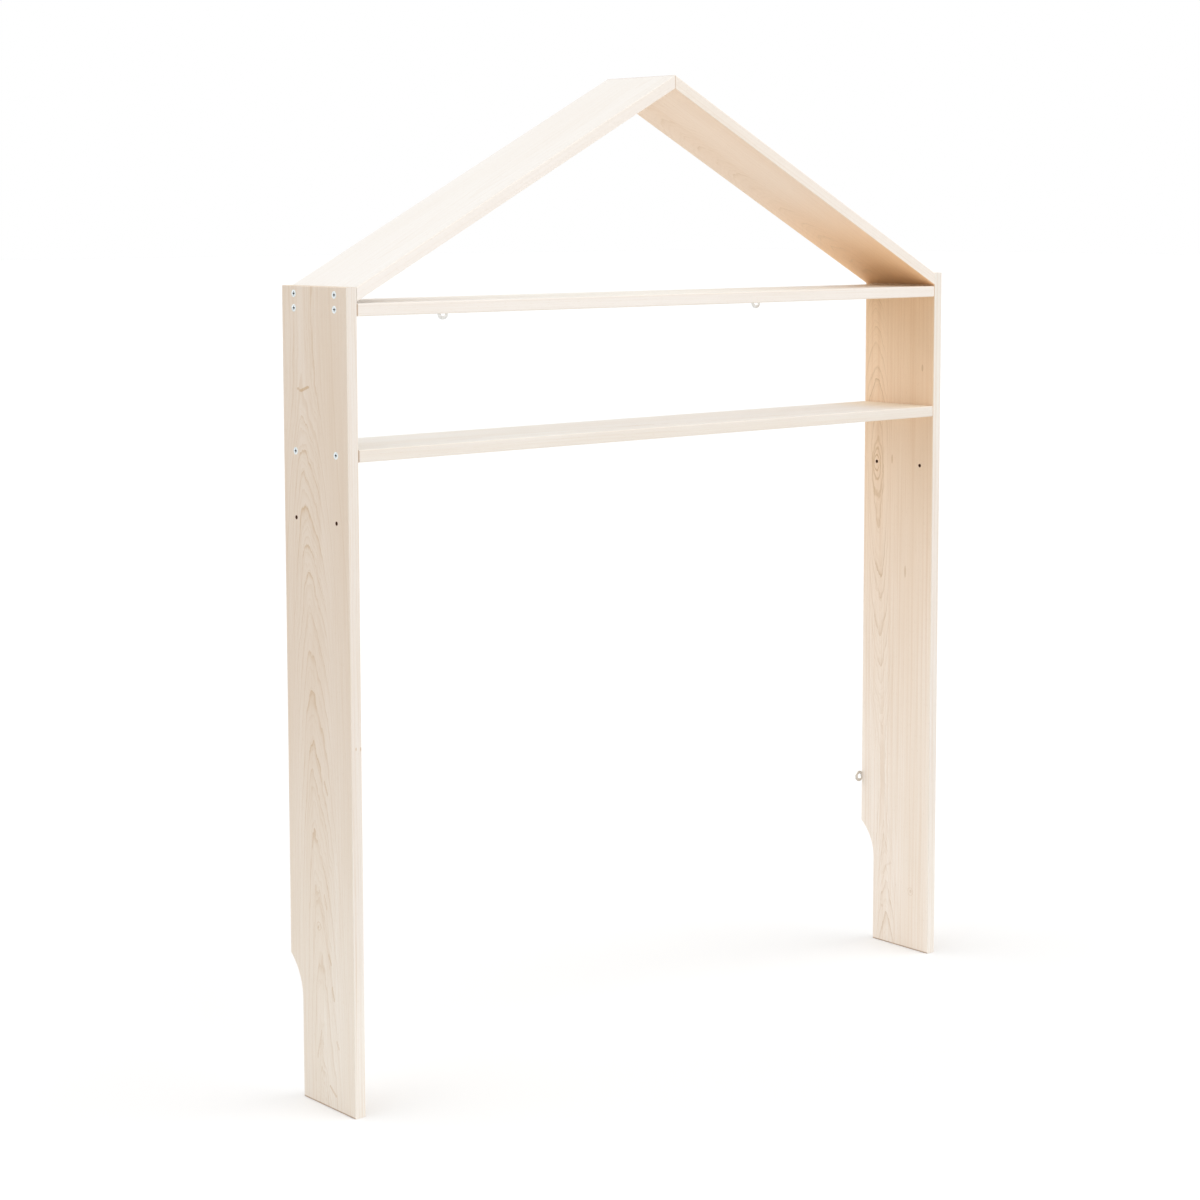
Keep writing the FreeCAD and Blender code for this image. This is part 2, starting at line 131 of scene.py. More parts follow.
class NodeBench:
    """Adds and joins the shader nodes of one material, or of the world."""

    def __init__(self, holder: bpy.types.Material | bpy.types.World) -> None:
        """Starts from the nodes that a new material or world has.

        Args:
            holder: the material or the world.
        """
        holder.use_nodes = True
        self.holder = holder
        self.nodes = holder.node_tree.nodes
        self.links = holder.node_tree.links

    def feed(self, socket: Socket, value: Feed) -> None:
        """Joins a socket to another one, or sets its own value.

        Args:
            socket: the input socket.
            value: an output socket to join, or a plain value to set.
        """
        if isinstance(value, Socket):
            self.links.new(value, socket)
        else:
            socket.default_value = value

    def shade(self, name: str, value: Feed) -> None:
        """Feeds a socket of the material's own shader."""
        self.feed(self.nodes["Principled BSDF"].inputs[name], value)

    def add(self, kind: str, feeds: dict[str | int, Feed], **settings: object) -> bpy.types.Node:
        """Adds a node.

        Args:
            kind: the node's type.
            feeds: what goes into its input sockets, by name or by number.
            settings: the node's own properties.

        Returns:
            The new node.
        """
        node = self.nodes.new(kind)
        for name, value in settings.items():
            setattr(node, name, value)
        for name, value in feeds.items():
            self.feed(node.inputs[name], value)
        return node

    def math(self, operation: str, *values: Feed, clamp: bool = False) -> Socket:
        """A Math node on up to three values, held between 0 and 1 where clamp says so."""
        feeds = dict(enumerate(values))
        return self.add("ShaderNodeMath", feeds, operation=operation, use_clamp=clamp).outputs[0]

    def vector(self, operation: str, *values: Feed) -> bpy.types.Node:
        """A Vector Math node."""
        return self.add("ShaderNodeVectorMath", dict(enumerate(values)), operation=operation)

    def parts(self, vector: Socket) -> list[Socket]:
        """A vector's three parts."""
        return list(self.add("ShaderNodeSeparateXYZ", {0: vector}).outputs)

    def noise(self, spot: Socket, pattern: Pattern, seed: float = 0.0) -> Socket:
        """Noise in a pattern.

        Args:
            spot: where the noise is read.
            pattern: the pattern.
            seed: the draw, which is added to the pattern's own shift.

        Returns:
            The noise's value, around one half.
        """
        shift = seed + pattern.shift
        moved = self.vector("MULTIPLY_ADD", spot, pattern.scale, (shift, shift, shift))
        feeds = {
            "Vector": moved.outputs["Vector"],
            "Scale": 1.0,
            "Detail": pattern.detail,
            "Roughness": pattern.roughness,
        }
        return self.add("ShaderNodeTexNoise", feeds, noise_dimensions="3D").outputs[0]

    def span(self, value: Socket, low: float, high: float, start: float = 0.0, end: float = 1.0) -> Socket:
        """A smooth step from start, where the value is low, to end, where it is high."""
        feeds = {0: value, 1: low, 2: high, 3: start, 4: end}
        return self.add("ShaderNodeMapRange", feeds, interpolation_type="SMOOTHSTEP").outputs[0]

    def mix(self, share: Feed, first: Feed, second: Feed, blend: str = "MIX") -> Socket:
        """Mixes two colours, by the second one's share."""
        feeds = {0: share, 6: first, 7: second}
        return self.add("ShaderNodeMix", feeds, data_type="RGBA", blend_type=blend).outputs[2]

    def product(self, first: Socket, *others: Feed) -> Socket:
        """Multiplies some values.

        Args:
            first: the first value.
            others: the other values.

        Returns:
            The product's socket.
        """
        for value in others:
            first = self.math("MULTIPLY", first, value)
        return first

    def largest(self, values: list[Socket]) -> Socket | None:
        """The largest of some values.

        Args:
            values: the values' sockets.

        Returns:
            The largest value's socket, or None where there are no values.
        """
        top = None
        for value in values:
            top = value if top is None else self.math("MAXIMUM", top, value)
        return top

    def relief(self, height: Socket, strength: float, distance: float) -> None:
        """Gives the material's shader a fine relief."""
        bump = self.add("ShaderNodeBump", {"Strength": strength, "Distance": distance, "Height": height})
        self.shade("Normal", bump.outputs["Normal"])


def cover(piece: bpy.types.Object, material: bpy.types.Material) -> None:
    """Gives a piece one material all over."""
    piece.data.materials.clear()
    piece.data.materials.append(material)


@dataclass(frozen=True)
class PaintedLightShift:
    """How a board's tone shifts along its grain, as painted light and shade: from where, to where, and by what."""

    start: float
    end: float
    gain: Triple


@dataclass(frozen=True)
class Cut:
    """How one board was cut from its tree, which sets the arches on its faces, and its tone with painted light and
    shade.

    The arches' middle line lies at side and drifts along the board. Their legs stand spread apart, lean over to
    the near side, run straight past the flank and fade out by fade_near and fade_far. Their tips are as round as
    the board's face is far from tip. Their tops follow each other every reach, or the other way along where it
    is negative, sooner further along by quicken, and past rush_start by rush as well. Past crest, the lines run
    straight on and no more arches start.

    Where the board bows through the rings, the arches turn over: sway rings, every sway_length, from sway_start.
    They are faint near the turn at quiet.

    Strength, figure and streaks are how far the arches, the clouds and the long streaks show. The shown face is
    the one that the grain was laid out for, on the through side of shown, and it has the tone_and_light and the
    painted_light_shifts,
    which paint light and shade on it: lighter or darker where light falls. The front edge has the
    edge_tone_and_light and the edge_painted_light_shifts, painted light and shade too, and the other face and edge
    have the back_tint.
    """

    seed: float
    side: float = 0.0
    drift: float = 0.0
    spread: float = 0.012
    lean: float = 0.0
    reach: float = 0.045
    quicken: float = 0.0
    crest: float | None = None
    flank: float = 0.040
    fade_near: float = 0.070
    fade_far: float = 0.070
    tip: float = 0.004
    sway: float = 0.0
    sway_length: float = 0.7
    sway_start: float = 0.0
    rush: float = 0.0
    rush_start: float = 0.0
    quiet: float | None = None
    quiet_reach: float = 0.17
    strength: float = 1.0
    figure: float = 1.0
    streaks: float = 0.10
    shown: float = 1.0
    # tone_and_light and edge_tone_and_light are the wood's tone with painted light and shade, for the shown face
    # and the front edge.
    tone_and_light: Triple = (1.0, 1.0, 1.0)
    back_tint: Triple = (0.97, 0.99, 1.05)
    edge_tone_and_light: Triple = (0.93, 0.97, 1.09)
    painted_light_shifts: tuple[PaintedLightShift, ...] = ()
    edge_painted_light_shifts: tuple[PaintedLightShift, ...] = ()


@dataclass(frozen=True)
class SeamAndShadow:
    """A brown line where a board meets a joint, or a painted shadow where a leg stands on the floor: the axis it
    lies across, its place there, its depth and its width.

    The line is full over its core, a share of its width. Some lines show on the board's wide faces only.
    """

    axis: Axis
    place: float
    depth: float = 0.55
    width: float = 0.0012
    wide_only: bool = False
    core: float = 0.25


@dataclass(frozen=True)
class Mark:
    """A spot in a board, the painted shade in an open hole, or a pin knot: its middle, its reach by axis and its
    depth.

    A rim is only the spot's outline, as where the rings close round a knot.
    """

    middle: Triple
    reach: Triple
    depth: float = 0.97
    rim: bool = False


@dataclass(frozen=True)
class MarkedFace:
    """A leg's upright face at one x, whose marks are placed by y and z alone and reach a little way in."""

    x: float
    into: float = 0.004

    def spot(self, middle: Pair, reach: Pair, depth: float, rim: bool = False) -> Mark:
        """One spot, or its rim."""
        return Mark((self.x, *middle), (self.into, *reach), depth, rim)

    def stroke(self, start: Pair, end: Pair, reach: Pair, depth: float, count: int) -> tuple[Mark, ...]:
        """A short dark stroke, as a row of spots.

        Args:
            start: the first spot's middle.
            end: the last spot's middle.
            reach: each spot's reach.
            depth: how dark the spots are.
            count: how many spots there are.

        Returns:
            The spots.
        """
        first, last = Vector((self.x, *start)), Vector((self.x, *end))
        middles = [first.lerp(last, step / (count - 1)) for step in range(count)]
        return tuple(Mark(tuple(middle), (self.into, *reach), depth) for middle in middles)


LEFT_FACE = MarkedFace(-LEG_OUTER)
RIGHT_FACE = MarkedFace(LEG_INNER)


@dataclass(frozen=True)
class BoardPlace:
    """Where a board lies: its middle, its half width and half thickness, and the way its grain runs."""

    middle: Vector
    half_width: float
    half_thickness: float
    along: Vector
    across: Vector

    def turn(self) -> Triple:
        """The turn from the object's axes to across, through and along the board."""
        through = self.along.cross(self.across)
        return tuple(Matrix((self.across, through, self.along)).transposed().to_euler("XYZ"))


class BoardBench(NodeBench):
    """The shader nodes of one board. A point is plain by the shelf's axes, and a spot by the board's own."""

    def __init__(self, name: str, place: BoardPlace, cut: Cut) -> None:
        """Starts a board's material.

        Args:
            name: the material's name.
            place: where the board lies.
            cut: how it was cut from the tree.
        """
        super().__init__(bpy.data.materials.new(name))
        self.place = place
        self.cut = cut
        self.plain = self.add("ShaderNodeTexCoord", {}).outputs["Object"]
        feeds = {"Vector": self.plain, "Location": tuple(place.middle), "Rotation": place.turn()}
        self.spot = self.add("ShaderNodeMapping", feeds, vector_type="TEXTURE").outputs[0]

    def draw(self, pattern: Pattern) -> Socket:
        """Noise in a pattern, as it falls on this board."""
        return self.noise(self.spot, pattern, self.cut.seed)

    def facing(self, way: Vector, cosines: Pair) -> Socket:
        """How far a face looks along a direction or against it.

        Args:
            way: the direction.
            cosines: where the share starts and where it is full.

        Returns:
            The share.
        """
        normal = self.add("ShaderNodeTexCoord", {}).outputs["Normal"]
        cosine = self.vector("DOT_PRODUCT", normal, tuple(way)).outputs["Value"]
        return self.span(self.math("ABSOLUTE", cosine), *cosines)

    def narrow(self) -> Socket:
        """How far a face is one of the board's narrow edges."""
        return self.facing(self.place.across, EDGE_COSINES)


@dataclass(frozen=True)
class FibreStyle:
    """How clouds, fibre, streaks and pores are drawn on every board.

    A range is where a pattern starts to show and where it fully does. A share is how far it then shows.
    """

    cloud: Pattern = Pattern((16.0, 16.0, 1.8), 0.0, 3.0)
    cloud_range: Pair = (0.30, 0.75)
    cloud_share: float = 0.6
    coarse: Pattern = Pattern((230.0, 230.0, 5.0), 11.0, 3.0, 0.65)
    coarse_share: float = 0.6
    fine: Pattern = Pattern((1500.0, 1500.0, 22.0), 13.0, 2.0, 0.6)
    fine_share: float = 0.4
    fibre_range: Pair = (0.38, 0.70)
    fibre_share: float = 0.45
    streak: Pattern = Pattern((210.0, 210.0, 1.6), 41.0, 2.0, 0.6)
    streak_range: Pair = (0.46, 0.66)
    pore: Pattern = Pattern((1100.0, 1100.0, 120.0), 17.0, 1.0)
    pore_range: Pair = (0.62, 0.76)
    pore_share: float = 0.16


@dataclass(frozen=True)
class RingStyle:
    """How growth rings are drawn on every board: strong and faint arches, and straight lines on the edges.

    A rate is how fast the ring count grows, and rings are how far a pattern moves it. Sharp is how thin a line
    is, and least is what is left of it where it fades.
    """

    share: float = 0.75
    wander: Pattern = Pattern((9.0, 9.0, 4.0), 3.1)
    wander_width: float = 0.020
    fade: Pattern = Pattern((60.0, 60.0, 14.0), 23.0)
    fade_range: Pair = (0.28, 0.55)
    fade_least: float = 0.20
    core: float = 0.008
    arch_least: float = 0.12
    arch_sharp: float = 9.0
    quiet_least: float = 0.05
    faint_rate: float = 3.7
    faint_seed: float = 50.0
    faint_sharp: float = 3.0
    faint_share: float = 0.26
    flank_rate: float = 2600.0
    ripple: Pattern = Pattern((70.0, 70.0, 24.0), 7.7, 3.0, 0.6)
    ripple_rings: float = 0.75
    crest_round: float = 0.08
    beat_scale: float = 0.8
    beat_detail: float = 1.0
    beat_rings: float = 1.1
    weave: Pattern = Pattern((20.0, 60.0, 2.5), 31.0)
    weave_rings: float = 3.0
    edge_rate: float = 230.0
    edge_seed: float = 80.0
    edge_sharp: float = 4.0
    edge_share: float = 0.35
    line_end: float = 0.955
    line_least: float = 0.3


@dataclass(frozen=True)
class MarkStyle:
    """How spots and rims are drawn: their soft outlines, as shares of their reach, and the rims' unevenness."""

    spot_outline: Pair = (0.85, 1.15)
    rim_outline: Pair = (0.04, 0.16)
    uneven: Pattern = Pattern((120.0, 120.0, 60.0))
    uneven_share: float = 0.6


@dataclass(frozen=True)
class WoodFinish:
    """Solid wood with a thin satin oil."""

    name: str
    sapwood: Colour = (0.872, 0.782, 0.655, 1.0)
    shade: Colour = (0.802, 0.678, 0.527, 1.0)
    streak: Colour = (0.700, 0.530, 0.360, 1.0)
    ring: Colour = (0.525, 0.335, 0.160, 1.0)
    end_grain: Colour = (0.660, 0.560, 0.450, 1.0)
    end_share: float = 0.75
    eased: Colour = (0.900, 0.840, 0.750, 1.0)
    eased_share: float = 0.5
    eased_width: float = 0.0026
    seam_and_shadow: Colour = (0.420, 0.250, 0.130, 1.0)
    painted_hole_shade: Colour = (0.115, 0.038, 0.014, 1.0)
    roughness: float = 0.52
    fibre_roughness: float = 0.16
    eased_roughness: float = 0.06
    oil_level: float = 0.22
    ring_relief: float = -0.25
    pore_relief: float = -0.5
    relief_strength: float = 0.16
    relief_distance: float = 0.0004
    fibres: FibreStyle = FibreStyle()
    rings: RingStyle = RingStyle()
    marks: MarkStyle = MarkStyle()

    def dress(
        self,
        node: bpy.types.Object,
        place: BoardPlace,
        cut: Cut,
        seams_and_shadows: tuple[SeamAndShadow, ...] = (),
        holes: tuple[Mark, ...] = (),
        knots: tuple[Mark, ...] = (),
    ) -> None:
        """Gives a board its own grain.

        Args:
            node: the board.
            place: where it lies.
            cut: how it was cut from the tree.
            seams_and_shadows: the brown lines at its joints, and the painted shadow at its foot.
            holes: its open holes, painted dark as painted shade.
            knots: its pin knots.
        """
        bench = BoardBench(f"{self.name}_{node.name}", place, cut)
        lines = self._ring_share(bench)
        fibre = self._fibre(bench)
        pores = bench.span(bench.draw(self.fibres.pore), *self.fibres.pore_range)
        edge = self._eased_edge(bench)
        ends = bench.facing(place.along, END_COSINES)
        # The plain wood is multiplied by its tone, with painted light and shade on each face and edge.
        colour = bench.mix(1.0, self._plain_wood(bench, fibre), self._tone_and_painted_light(bench), "MULTIPLY")
        layers = (
            (bench.product(pores, self.fibres.pore_share), self.ring),
            (bench.product(lines, self.rings.share * cut.strength), self.ring),
            (bench.product(ends, self.end_share), self.end_grain),
            (bench.product(edge, self.eased_share), self.eased),
            (self._mark_share(bench, knots), self.ring),
            # Brown joint lines, and the painted shadow at a leg's foot.
            (self._seam_and_shadow_share(bench, seams_and_shadows), self.seam_and_shadow),
            # The open holes are painted near black: painted shade in them and round their mouths.
            (self._mark_share(bench, holes), self.painted_hole_shade),
        )
        for share, upper in layers:
            if share is not None:
                colour = bench.mix(share, colour, upper)
        bench.shade("Base Color", colour)
        self._surface(bench, lines, fibre, pores, edge)
        cover(node, bench.holder)

    def _plain_wood(self, bench: BoardBench, fibre: Socket) -> Socket:
        """The wood's colour before its tone, its rings and its marks.

        Args:
            bench: the board's nodes.
            fibre: the fine streaks.

        Returns:
            The colour.
        """
        style, cut = self.fibres, bench.cut
        cloud = bench.span(bench.draw(style.cloud), *style.cloud_range, 0.0, style.cloud_share * cut.figure)
        fibre = bench.span(fibre, *style.fibre_range, 0.0, style.fibre_share * cut.figure)
        streak = bench.span(bench.draw(style.streak), *style.streak_range, 0.0, cut.streaks)
        colour = bench.mix(cloud, self.sapwood, self.shade)
        colour = bench.mix(fibre, colour, self.shade)
        return bench.mix(streak, colour, self.streak)

    def _tone_and_painted_light(self, bench: BoardBench) -> Socket:
        """The board's tone with painted light and shade: along its wide faces, and on its narrow edges.

        Args:
            bench: the board's nodes.

        Returns:
            What the plain wood's colour is multiplied by.
        """
        place, cut = bench.place, bench.cut
        across, through, along = bench.parts(bench.spot)
        back = (*cut.back_tint, 1.0)
        reach = cut.shown * place.half_thickness
        face = self._shifted(bench, along, cut.tone_and_light, cut.painted_light_shifts)
        face = bench.mix(bench.span(through, -reach, reach), back, face)
        edge = self._shifted(bench, along, cut.edge_tone_and_light, cut.edge_painted_light_shifts)
        edge = bench.mix(bench.span(across, -place.half_width, place.half_width), edge, back)
        return bench.mix(bench.narrow(), face, edge)

    def _shifted(self, bench: BoardBench, along: Socket, tone_and_light: Triple, painted_light_shifts: tuple[PaintedLightShift, ...]) -> Feed:
        """A tone with painted light, and its painted light and shade along the grain.

        Args:
            bench: the board's nodes.
            along: the place along the grain.
            tone_and_light: the tone with painted light, before any shift.
            painted_light_shifts: the painted light and shade along the grain.

        Returns:
            The tone with painted light and shade, as a colour.
        """
        lit_tone = (*tone_and_light, 1.0)
        # Each shift paints light and shade over a stretch along the grain, lighter or darker by its gain.
        for shift in painted_light_shifts:
            gained = bench.mix(1.0, lit_tone, (*shift.gain, 1.0), "MULTIPLY")
            lit_tone = bench.mix(bench.span(along, shift.start, shift.end), lit_tone, gained)
        return lit_tone

    def _ring_share(self, bench: BoardBench) -> Socket:
        """The growth rings that the board's faces cut through: arches on the wide faces, lines on the edges.

        Args:
            bench: the board's nodes.

        Returns:
            How dark the late wood is.
        """
        style = self.rings
        fade = bench.span(bench.draw(style.fade), *style.fade_range, style.fade_least, 1.0)
        arches = self._arches(bench, fade)
        straight = self._edge_lines(bench, fade)
        return bench.add("ShaderNodeMix", {0: bench.narrow(), 2: arches, 3: straight}).outputs[0]

    def _arches(self, bench: BoardBench, fade: Socket) -> Socket:
        """The strong and the faint arches on the wide faces.

        Args:
            bench: the board's nodes.
            fade: how far the lines show here.

        Returns:
            How dark the arches are.
        """
        style, cut = self.rings, bench.cut
        across, _, along = bench.parts(bench.spot)
        wander = bench.draw(style.wander)
        wander = bench.math("MULTIPLY_ADD", wander, style.wander_width, -style.wander_width / 2 - cut.side)
        side = bench.math("ADD", bench.math("MULTIPLY_ADD", along, -cut.drift, across), wander)
        count = self._arch_count(bench, side)
        near = bench.span(side, -style.core, -cut.fade_near, 1.0, style.arch_least)
        far = bench.span(side, style.core, cut.fade_far, 1.0, style.arch_least)
        strong = self._ring_lines(bench, count, cut.seed, style.arch_sharp)
        strong = bench.product(strong, bench.product(near, far), fade)
        if cut.quiet is not None:
            turn = bench.math("ABSOLUTE", bench.math("ADD", along, -cut.quiet))
            strong = bench.product(strong, bench.span(turn, 0.0, cut.quiet_reach, style.quiet_least, 1.0))
        faint = bench.product(count, style.faint_rate)
        faint = self._ring_lines(bench, faint, cut.seed + style.faint_seed, style.faint_sharp)
        return bench.math("MULTIPLY_ADD", faint, style.faint_share, strong, clamp=True)

    def _edge_lines(self, bench: BoardBench, fade: Socket) -> Socket:
        """The straight lines on the narrow edges.

        Args:
            bench: the board's nodes.
            fade: how far the lines show here.

        Returns:
            How dark the lines are.
        """
        style = self.rings
        through = bench.parts(bench.spot)[1]
        weave = bench.product(bench.draw(style.weave), style.weave_rings)
        count = bench.math("MULTIPLY_ADD", through, style.edge_rate, weave)
        lines = self._ring_lines(bench, count, bench.cut.seed + style.edge_seed, style.edge_sharp)
        return bench.product(lines, fade, style.edge_share)

    def _arch_count(self, bench: BoardBench, side: Socket) -> Socket:
        """The ring count on the wide faces, whose whole numbers are the arches.

        Args:
            bench: the board's nodes.
            side: how far the place is from the arches' middle line.

        Returns:
            The count.
        """
        style, cut = self.rings, bench.cut
        _, through, along = bench.parts(bench.spot)
        # The count grows away from the middle line, and ever faster past the flank.
        deep = bench.math("ADD", through, cut.tip)
        arm = bench.math("SQRT", bench.math("MULTIPLY_ADD", side, side, bench.product(deep, deep)))
        past = bench.math("MAXIMUM", bench.math("ADD", bench.math("ABSOLUTE", side), -cut.flank), 0.0)
        steep = bench.product(past, past, style.flank_rate)
        count = bench.math("MULTIPLY_ADD", arm, 1.0 / cut.spread, steep)
        count = bench.math("MULTIPLY_ADD", side, cut.lean, count)
        count = bench.math("MULTIPLY_ADD", bench.draw(style.ripple), style.ripple_rings, count)
        # It also changes along the board, which closes the lines into arches.
        if cut.crest is not None:
            along = bench.math("SMOOTH_MIN", along, cut.crest, style.crest_round)
        rise = bench.math("MULTIPLY_ADD", along, cut.quicken, 1.0 / cut.reach)
        count = bench.math("MULTIPLY_ADD", along, rise, count)
        if cut.sway:
            angle = bench.math("MULTIPLY_ADD", along, math.tau / cut.sway_length, cut.sway_start)
            count = bench.math("MULTIPLY_ADD", bench.math("COSINE", angle), -cut.sway, count)
        if cut.rush:
            ahead = bench.math("MAXIMUM", bench.math("ADD", along, -cut.rush_start), 0.0)
            count = bench.math("MULTIPLY_ADD", bench.product(ahead, ahead), cut.rush, count)
        # A slow beat makes some years wide and some narrow.
        feeds = {"W": count, "Scale": style.beat_scale, "Detail": style.beat_detail}
        beat = bench.add("ShaderNodeTexNoise", feeds, noise_dimensions="1D").outputs[0]
        return bench.math("MULTIPLY_ADD", beat, style.beat_rings, count)

    def _ring_lines(self, bench: BoardBench, count: Socket, seed: float, sharp: float) -> Socket:
        """Late wood lines, one for each whole count, each with a strength of its own.

        Args:
            bench: the board's nodes.
            count: the ring count.
            seed: the draw of strengths.
            sharp: how thin the lines are.

        Returns:
            How dark the line is.
        """
        least = self.rings.line_least
        phase = bench.math("FRACT", count)
        ending = bench.span(phase, self.rings.line_end, 1.0, 1.0, 0.0)
        line = bench.product(bench.math("POWER", phase, sharp), ending)
        number = bench.math("ADD", bench.math("FLOOR", count), seed)
        draw = bench.add("ShaderNodeTexWhiteNoise", {"W": number}, noise_dimensions="1D").outputs["Value"]
        return bench.product(line, bench.math("MULTIPLY_ADD", draw, 1.0 - least, least))

    def _fibre(self, bench: BoardBench) -> Socket:
        """Fine streaks along the grain.

        Args:
            bench: the board's nodes.

        Returns:
            The streaks' value, around one half.
        """
        coarse = bench.product(bench.draw(self.fibres.coarse), self.fibres.coarse_share)
        fine = bench.product(bench.draw(self.fibres.fine), self.fibres.fine_share)
        return bench.math("ADD", coarse, fine)

    def _eased_edge(self, bench: BoardBench) -> Socket:
        """How near a point is to one of the board's long edges, where sanding has eased it.

        Args:
            bench: the board's nodes.

        Returns:
            The share of eased edge.
        """
        shares = []
        halves = (bench.place.half_width, bench.place.half_thickness)
        for away, half in zip(bench.parts(bench.spot), halves):
            shares.append(bench.span(bench.math("ABSOLUTE", away), half - self.eased_width, half))
        return bench.product(*shares)

    def _seam_and_shadow_share(self, bench: BoardBench, seams_and_shadows: tuple[SeamAndShadow, ...]) -> Socket | None:
        """How brown a point is from the lines at the joints, and from the painted shadow at a foot.

        Args:
            bench: the board's nodes.
            seams_and_shadows: the lines and the painted shadow.

        Returns:
            The share, or None where the board has no such line.
        """
        shares = []
        for seam_and_shadow in seams_and_shadows:
            away = bench.math("ADD", bench.parts(bench.plain)[seam_and_shadow.axis.value], -seam_and_shadow.place)
            away = bench.math("ABSOLUTE", away)
            share = bench.span(away, seam_and_shadow.core * seam_and_shadow.width, seam_and_shadow.width, seam_and_shadow.depth, 0.0)
            if seam_and_shadow.wide_only:
                share = bench.product(share, bench.math("SUBTRACT", 1.0, bench.narrow()))
            shares.append(share)
        return bench.largest(shares)

    def _mark_share(self, bench: BoardBench, marks: tuple[Mark, ...]) -> Socket | None:
        """How dark a point is from the painted shade in the open holes, or from the pin knots.

        Args:
            bench: the board's nodes.
            marks: the holes or the knots.

        Returns:
            The share, or None where the board has none.
        """
        style = self.marks
        shares = []
        for mark in marks:
            away = bench.vector("SUBTRACT", bench.plain, mark.middle).outputs["Vector"]
            away = bench.vector("DIVIDE", away, mark.reach).outputs["Vector"]
            away = bench.vector("LENGTH", away).outputs["Value"]
            outline = style.spot_outline
            if mark.rim:
                outline = style.rim_outline
                uneven = bench.noise(bench.plain, style.uneven)
                middle = -1.0 - style.uneven_share / 2
                away = bench.math("ADD", bench.math("MULTIPLY_ADD", uneven, style.uneven_share, middle), away)
                away = bench.math("ABSOLUTE", away)
            shares.append(bench.span(away, *outline, mark.depth, 0.0))
        return bench.largest(shares)

    def _surface(self, bench: BoardBench, lines: Socket, fibre: Socket, pores: Socket, edge: Socket) -> None:
        """Sets the oil's gloss and the grain's relief.

        Args:
            bench: the board's nodes.
            lines: the growth rings.
            fibre: the fine streaks.
            pores: the pores.
            edge: the share of eased edge.
        """
        rough = bench.math("MULTIPLY_ADD", fibre, self.fibre_roughness, self.roughness)
        rough = bench.math("MULTIPLY_ADD", edge, self.eased_roughness, rough)
        bench.shade("Roughness", rough)
        bench.shade("Specular IOR Level", self.oil_level)
        height = bench.math("MULTIPLY_ADD", lines, self.ring_relief, fibre)
        height = bench.math("MULTIPLY_ADD", pores, self.pore_relief, height)
        bench.relief(height, self.relief_strength, self.relief_distance)


MAPLE = WoodFinish("maple")
BEECH = WoodFinish(
    "beech",
    sapwood=(0.78, 0.62, 0.45, 1.0),
    shade=(0.70, 0.53, 0.36, 1.0),
    streak=(0.62, 0.45, 0.30, 1.0),
    roughness=0.54,
)


@dataclass(frozen=True)
class PlatedFinish:
    """Plated steel with fine drawing marks, and painted shade in its hollows.

    A point counts as in a hollow where it lies nearer to the shelf's middle than hollow_floor, on hollow_axis.
    """

    name: str
    colour: Colour
    tarnish: Colour
    roughness: float
    hollow_axis: Axis = Axis.WIDTH
    hollow_floor: float | None = None
    hollow_slope: float = 0.0004
    recess_shade: Colour = (0.06, 0.065, 0.07, 1.0)
    recess_shade_share: float = 0.95
    cloud: Pattern = Pattern((420.0, 420.0, 420.0), 0.0, 3.0, 0.6)
    cloud_range: Pair = (0.35, 0.75)
    cloud_share: float = 0.8
    cloud_roughness: float = 0.22
    drawing: Pattern = Pattern((2600.0, 2600.0, 700.0), 5.0)
    relief_strength: float = 0.2
    relief_distance: float = 0.0001

    def make(self) -> bpy.types.Material:
        """Makes the finish.

        Returns:
            The finish as a material.
        """
        bench = NodeBench(bpy.data.materials.new(self.name))
        spot = bench.add("ShaderNodeTexCoord", {}).outputs["Object"]
        cloud = bench.noise(spot, self.cloud)
        dull = bench.span(cloud, *self.cloud_range, 0.0, self.cloud_share)
        colour = bench.mix(dull, self.colour, self.tarnish)
        # The screws' cross recesses are painted near black, as painted shade.
        if self.hollow_floor is not None:
            away = bench.math("ABSOLUTE", bench.parts(spot)[self.hollow_axis.value])
            bottom = self.hollow_floor - self.hollow_slope
            sunk = bench.span(away, bottom, self.hollow_floor, self.recess_shade_share, 0.0)
            colour = bench.mix(sunk, colour, self.recess_shade)
        bench.shade("Base Color", colour)
        bench.shade("Metallic", 1.0)
        smoothest = self.roughness - self.cloud_roughness / 2
        bench.shade("Roughness", bench.math("MULTIPLY_ADD", cloud, self.cloud_roughness, smoothest))
        bench.relief(bench.noise(spot, self.drawing), self.relief_strength, self.relief_distance)
        return bench.holder


ZINC_LIGHT: Colour = (0.84, 0.885, 0.89, 1.0)
ZINC_DULL: Colour = (0.52, 0.58, 0.60, 1.0)
ZINC_ROUGHNESS = 0.32
BOARD_SCREW_ZINC = PlatedFinish("board_screw_zinc", ZINC_LIGHT, ZINC_DULL, ZINC_ROUGHNESS, Axis.WIDTH, 0.6199)
PLATE_SCREW_ZINC = PlatedFinish("plate_screw_zinc", ZINC_LIGHT, ZINC_DULL, ZINC_ROUGHNESS, Axis.DEPTH, 0.0799)
NICKEL = PlatedFinish("satin_nickel", (0.76, 0.75, 0.72, 1.0), (0.52, 0.51, 0.48, 1.0), 0.34)


